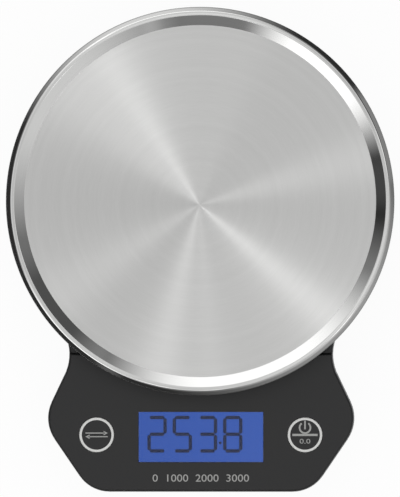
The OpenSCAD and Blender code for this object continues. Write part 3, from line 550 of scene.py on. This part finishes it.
# The beam is fixed to the base at one end and to the tray's carrier at the other, and its
# thinned middle bends as the tray sinks, the gauges and their coating with it. Here all three are
# copied in place of their CAD nodes and cut across that middle at even steps; they are not bent.
BEND_FROM, BEND_TO, BEND_CUTS = -11.5, 11.5, 12
for node in ("load_cell", "strain_gauges", "gauge_coating"):
    mesh = frame["nodes"][node].data.copy()
    mesh.name = node + "_bending"
    shape = bmesh.new()
    shape.from_mesh(mesh)
    for cut in range(BEND_CUTS + 1):
        x = BEND_FROM + (BEND_TO - BEND_FROM) * cut / BEND_CUTS
        everything = shape.verts[:] + shape.edges[:] + shape.faces[:]
        bmesh.ops.bisect_plane(shape, geom=everything, plane_co=(x * MM, 0, 0), plane_no=(1, 0, 0))
    shape.to_mesh(mesh)
    shape.free()
    bending = bpy.data.objects.new(node + "_bending", mesh)
    bpy.context.scene.collection.objects.link(bending)
    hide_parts(node)
    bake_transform(bending)


# ---------------------------------------------------------------- display

# Digits of rounded segments; a segment is drawn from the middle of the digit in mm
HALF_W, HALF_H, THICK, GAP = 3.3, 6.9, 1.42, 0.2


def bar(x0, y0, x1, y1):
    """One segment: a bar with cut corners between two corners of the digit."""
    t = THICK / 2
    cut = t * 0.6
    if x0 != x1:
        a, b = min(x0, x1) + GAP + cut, max(x0, x1) - GAP - cut
        return [(a, y0 - t), (b, y0 - t), (b + cut, y0), (b, y0 + t), (a, y0 + t), (a - cut, y0)]
    a, b = min(y0, y1) + GAP + cut, max(y0, y1) - GAP - cut
    return [(x0 + t, a), (x0 + t, b), (x0, b + cut), (x0 - t, b), (x0 - t, a), (x0, a - cut)]


SEGMENTS = {
    "top": (-HALF_W, HALF_H, HALF_W, HALF_H),
    "middle": (-HALF_W, 0, HALF_W, 0),
    "bottom": (-HALF_W, -HALF_H, HALF_W, -HALF_H),
    "left_up": (-HALF_W, 0, -HALF_W, HALF_H),
    "right_up": (HALF_W, 0, HALF_W, HALF_H),
    "left_down": (-HALF_W, -HALF_H, -HALF_W, 0),
    "right_down": (HALF_W, -HALF_H, HALF_W, 0),
}
SHAPES = {
    "2": ("top", "right_up", "middle", "left_down", "bottom"),
    "5": ("top", "left_up", "middle", "right_down", "bottom"),
    "3": ("top", "right_up", "middle", "right_down", "bottom"),
    "8": tuple(SEGMENTS),
}
# Each digit and its place from left to right, and the point between the last two
READING = (("2", -18.1), ("5", -7.68), ("3", 2.72), ("8", 13.15))
DIGIT_Y = WINDOW_Y + 1.15
POINT_X, POINT_Y, POINT_R = 7.97, WINDOW_Y - 2.4, 0.6
# The crystal and the mask lie this far over the glass
INK_FROM, SEGMENT_TO, MASK_TO = GLASS_Z + 0.005, GLASS_Z + 0.04, GLASS_Z + 0.05

outlines = [
    [(x + dx, y + DIGIT_Y) for x, y in bar(*SEGMENTS[part])]
    for digit, dx in READING
    for part in SHAPES[digit]
]
outlines.append(arc((POINT_X, POINT_Y), POINT_R, 0, 330, 11))
segments = slab("display_reading", outlines, INK_FROM, SEGMENT_TO)
new_piece("display_reading", segments, "housing", [SEGMENT_INK])

# Black mask printed round the view area, which shows as a thin dark edge inside the window
VIEW_W, VIEW_D, MASK_OUT_W, MASK_OUT_D = 51.3, 20.6, 54, 23
ox, oy, ix, iy = MASK_OUT_W / 2, MASK_OUT_D / 2, VIEW_W / 2, VIEW_D / 2
mask_bars = [
    [(x0, WINDOW_Y + y0), (x1, WINDOW_Y + y0), (x1, WINDOW_Y + y1), (x0, WINDOW_Y + y1)]
    for x0, x1, y0, y1 in ((-ox, ox, -oy, -iy), (-ox, ox, iy, oy), (-ox, -ix, -iy, iy), (ix, ox, -iy, iy))
]
new_piece("display_mask", slab("display_mask", mask_bars, INK_FROM, MASK_TO), "housing", [BLACK_INK])


# ---------------------------------------------------------------- buttons

# The ring's flat part, and how it rolls over the cap's edge, as (radius, height over the cap)
INK = 0.03
RING = ((6.14, -0.02), (6.14, INK), (6.95, INK), (7.16, -0.19), (7.16, -0.23), (6.9, -0.02))


def opposed_arrows():
    """Two plain arrows, one each way, in mm from the button's middle."""
    reach, apart, line = 4.6, 0.75, 0.42
    head_long, head_half, line_end = 1.7, 0.9, 1.2
    marks = []
    for side in (-1, 1):
        tail, tip, y = -side * reach, side * reach, side * apart
        back = tip - side * head_long
        marks.append(stroke([(tail, y), (tip - side * line_end, y)], line))
        marks.append([(back, y - head_half), (tip, y), (back, y + head_half)])
    return marks


def power_sign_over_bar():
    """An open circle with an upright line in its gap, over a level bar."""
    middle_y, radius, half_gap, half_bar = 3.0, 2.25, 38, 5.2
    circle = arc((0, middle_y), radius, 90 + half_gap, 450 - half_gap, 28)
    upright = [(0, 2.3), (0, 5.9)]
    return [stroke(circle, 0.7), stroke(upright, 0.65), stroke([(-half_bar, 0), (half_bar, 0)], 0.9)]


for node, body, marks in (
    ("unit_button", "unit_key", opposed_arrows()), ("tare_button", "tare_key", power_sign_over_bar()),
):
    low, high = box_mm(node)
    middle = ((low.x + high.x) / 2, (low.y + high.y) / 2, 0)
    ring = lathe(node + "_ring", [(r, BUTTON_TOP_Z + over) for r, over in RING], 96)
    new_piece(node + "_ring", ring, body, [WHITE_INK], middle)
    signs = slab(node + "_marks", marks, BUTTON_TOP_Z - 0.01, BUTTON_TOP_Z + INK)
    new_piece(node + "_marks", signs, body, [GREY_INK], middle)

# The right button's middle is the last one above
zero_place = (middle[0], middle[1] - 2.6, BUTTON_TOP_Z + 0.01)
numbers("tare_zero", "0.0", 1.9, 4.4, zero_place, "tare_key")
numbers("range_numbers", "0  1000  2000  3000", 3.0, 39.8, (0, -94.2, DECK_Z + 0.01), "housing")


# ---------------------------------------------------------------- studio

scene = bpy.context.scene
scene.view_settings.view_transform = "Standard"

# White table. A camera, mirror or clear ray meets plain white there, and the white is let
# down where the object's own shadow falls.
TABLE_HALF, PLAIN_WHITE_SHARE = 4, 0.95
table_shape = bmesh.new()
bmesh.ops.create_grid(table_shape, x_segments=1, y_segments=1, size=TABLE_HALF)
table_mesh = bpy.data.meshes.new("table")
table_shape.to_mesh(table_mesh)
table_shape.free()
table = bpy.data.objects.new("table", table_mesh)
scene.collection.objects.link(table)
material, tree, surface = new_material("white_table", Roughness=0.9, IOR=1.3)
mottle = add(tree, "ShaderNodeTexNoise", Vector=place_in_mm(tree), Scale=1 / 40).outputs["Fac"]
dress(tree, surface, shade=(mottle, "#f4f4f4", "#f8f8f8"))
rays = add(tree, "ShaderNodeLightPath").outputs
seen = rays["Is Camera Ray"]
for ray in ("Is Transmission Ray", "Is Glossy Ray"):
    seen = add(tree, "ShaderNodeMath", {"operation": "MAXIMUM"}, in0=seen, in1=rays[ray]).outputs[0]
share = add(tree, "ShaderNodeMath", {"operation": "MULTIPLY"}, in0=seen, in1=PLAIN_WHITE_SHARE).outputs[0]
white = add(tree, "ShaderNodeEmission", Color=(1, 1, 1, 1), Strength=1.0)
both = add(tree, "ShaderNodeMixShader", in0=share, in1=surface.outputs[0], in2=white.outputs[0])
feed(tree, tree.nodes["Material Output"], Surface=both.outputs[0])
table_mesh.materials.append(material)

# Soft boxes round the table, by the direction they stand in: azimuth and height of the
# middle, half width and half height, all in degrees, their soft edge, and their strength
SOFT_BOXES = (
    (110, 37, 38, 11, 44, 1.7),
    (225.3, 38, 22, 11, 26, 1.9),
    (323, 37, 39.5, 11, 60, 0.94),
    (262, 37, 16, 13, 10, 0.28),
    (40, 38, 30, 10, 24, 0.12),
    (12, 37, 14, 11, 24, 0.245),
    (58, 37, 8, 11, 24, 0.35),
    (160, 37, 6, 11, 30, 0.37),
    (186, 37, 9, 11, 12, 0.09),
    (285, 37, 6, 11, 12, 0.62),
    (109, 11, 29, 9, 50, 1.05),
    (325, 11, 38, 9, 84, 0.51),
    (240, 11, 4, 9, 8, 0.16),
    (20, 11, 16, 9, 8, 0.34),
    (109, 20, 26, 5, 44, 1.2),
    (322, 20, 40, 5, 84, 0.76),
    (20, 20, 16, 5, 8, 0.43),
)
# Lamps set in the overhead box, which draw the fans on the brushed disc, and the brighter
# parts of the ceiling round the camera, which show in the crest. A dimmer part is negative.
LAMPS = (
    (124, 62, 4.5, 12, 5, 1.45),
    (139, 62, 13, 12, 18, 0.32),
    (317.5, 62, 5, 12, 7, 2.0),
    (253, 62, 5, 12, 5, 1.45),
    (271, 62, 3, 12, 4, 1.0),
    (17, 62, 7, 12, 8, 0.95),
    (229, 62, 10, 12, 12, -0.35),
    (210, 62, 7, 12, 8, 0.35),
    (94, 62, 14, 12, 14, -0.2),
    (50, 62, 12, 12, 14, 0.1),
    (298, 62, 8, 12, 10, -0.2),
    (110, 86, 34, 4, 44, 0.46),
    (226, 86, 14, 4, 22, 0.35),
    (312, 86, 44, 4, 64, 0.44),
    (52, 86, 14, 4, 14, -0.1),
)
# The boxes' soft edge up and down, in degrees
RISE_EDGE = 10
# The overhead box starts at about 52 degrees, and a share of it is cut away round the camera
OVERHEAD, OVERHEAD_EDGE = 0.99, (44, 60)
CAMERA_GAP, GAP_EDGE = 0.27, (77, 81)
# What light there is between the boxes
DIM = 0.038

world = bpy.data.worlds.new("studio")
scene.world = world
world.use_nodes = True
tree = world.node_tree
direction = add(tree, "ShaderNodeTexCoord").outputs["Generated"]
parts = add(tree, "ShaderNodeSeparateXYZ", Vector=direction).outputs
azimuth = add(tree, "ShaderNodeMath", {"operation": "ARCTAN2"}, in0=parts["Y"], in1=parts["X"]).outputs[0]
height = add(tree, "ShaderNodeMath", {"operation": "ARCSINE"}, in0=parts["Z"]).outputs[0]
azimuth, height = (
    add(tree, "ShaderNodeMath", {"operation": "MULTIPLY"}, in0=angle, in1=180 / math.pi).outputs[0]
    for angle in (azimuth, height)
)
SOFT_EDGE = {"interpolation_type": "SMOOTHSTEP"}


def soft_box(turn, up, half_turn, half_up, soft, power):
    """The light of one row of the tables above, by direction."""
    past = add(tree, "ShaderNodeMath", {"operation": "ADD"}, in0=azimuth, in1=720 - turn).outputs[0]
    off = add(tree, "ShaderNodeMath", {"operation": "PINGPONG"}, in0=past, in1=180).outputs[0]
    above = add(tree, "ShaderNodeMath", {"operation": "SUBTRACT"}, in0=height, in1=up).outputs[0]
    rise = add(tree, "ShaderNodeMath", {"operation": "ABSOLUTE"}, in0=above).outputs[0]
    light = power
    for value, half, edge in ((off, half_turn, soft), (rise, half_up, RISE_EDGE)):
        inside = add(
            tree, "ShaderNodeMapRange", SOFT_EDGE, Value=value,
            From_Min=half - edge / 2, From_Max=half + edge / 2, To_Min=1.0, To_Max=0.0,
        ).outputs[0]
        light = add(tree, "ShaderNodeMath", {"operation": "MULTIPLY"}, in0=inside, in1=light).outputs[0]
    return light


overhead = add(
    tree, "ShaderNodeMapRange", SOFT_EDGE, Value=height,
    From_Min=OVERHEAD_EDGE[0], From_Max=OVERHEAD_EDGE[1], To_Min=0.0, To_Max=OVERHEAD,
).outputs[0]
left_by_gap = add(
    tree, "ShaderNodeMapRange", SOFT_EDGE, Value=height,
    From_Min=GAP_EDGE[0], From_Max=GAP_EDGE[1], To_Min=1.0, To_Max=1 - CAMERA_GAP,
).outputs[0]
strength = add(
    tree, "ShaderNodeMath", {"operation": "MULTIPLY_ADD"}, in0=overhead, in1=left_by_gap, in2=DIM
).outputs[0]
for boxes, joined in ((SOFT_BOXES, "MAXIMUM"), (LAMPS, "ADD")):
    for box in boxes:
        strength = add(
            tree, "ShaderNodeMath", {"operation": joined}, in0=strength, in1=soft_box(*box)
        ).outputs[0]
feed(tree, tree.nodes["Background"], Color=(1, 1, 1, 1), Strength=strength)
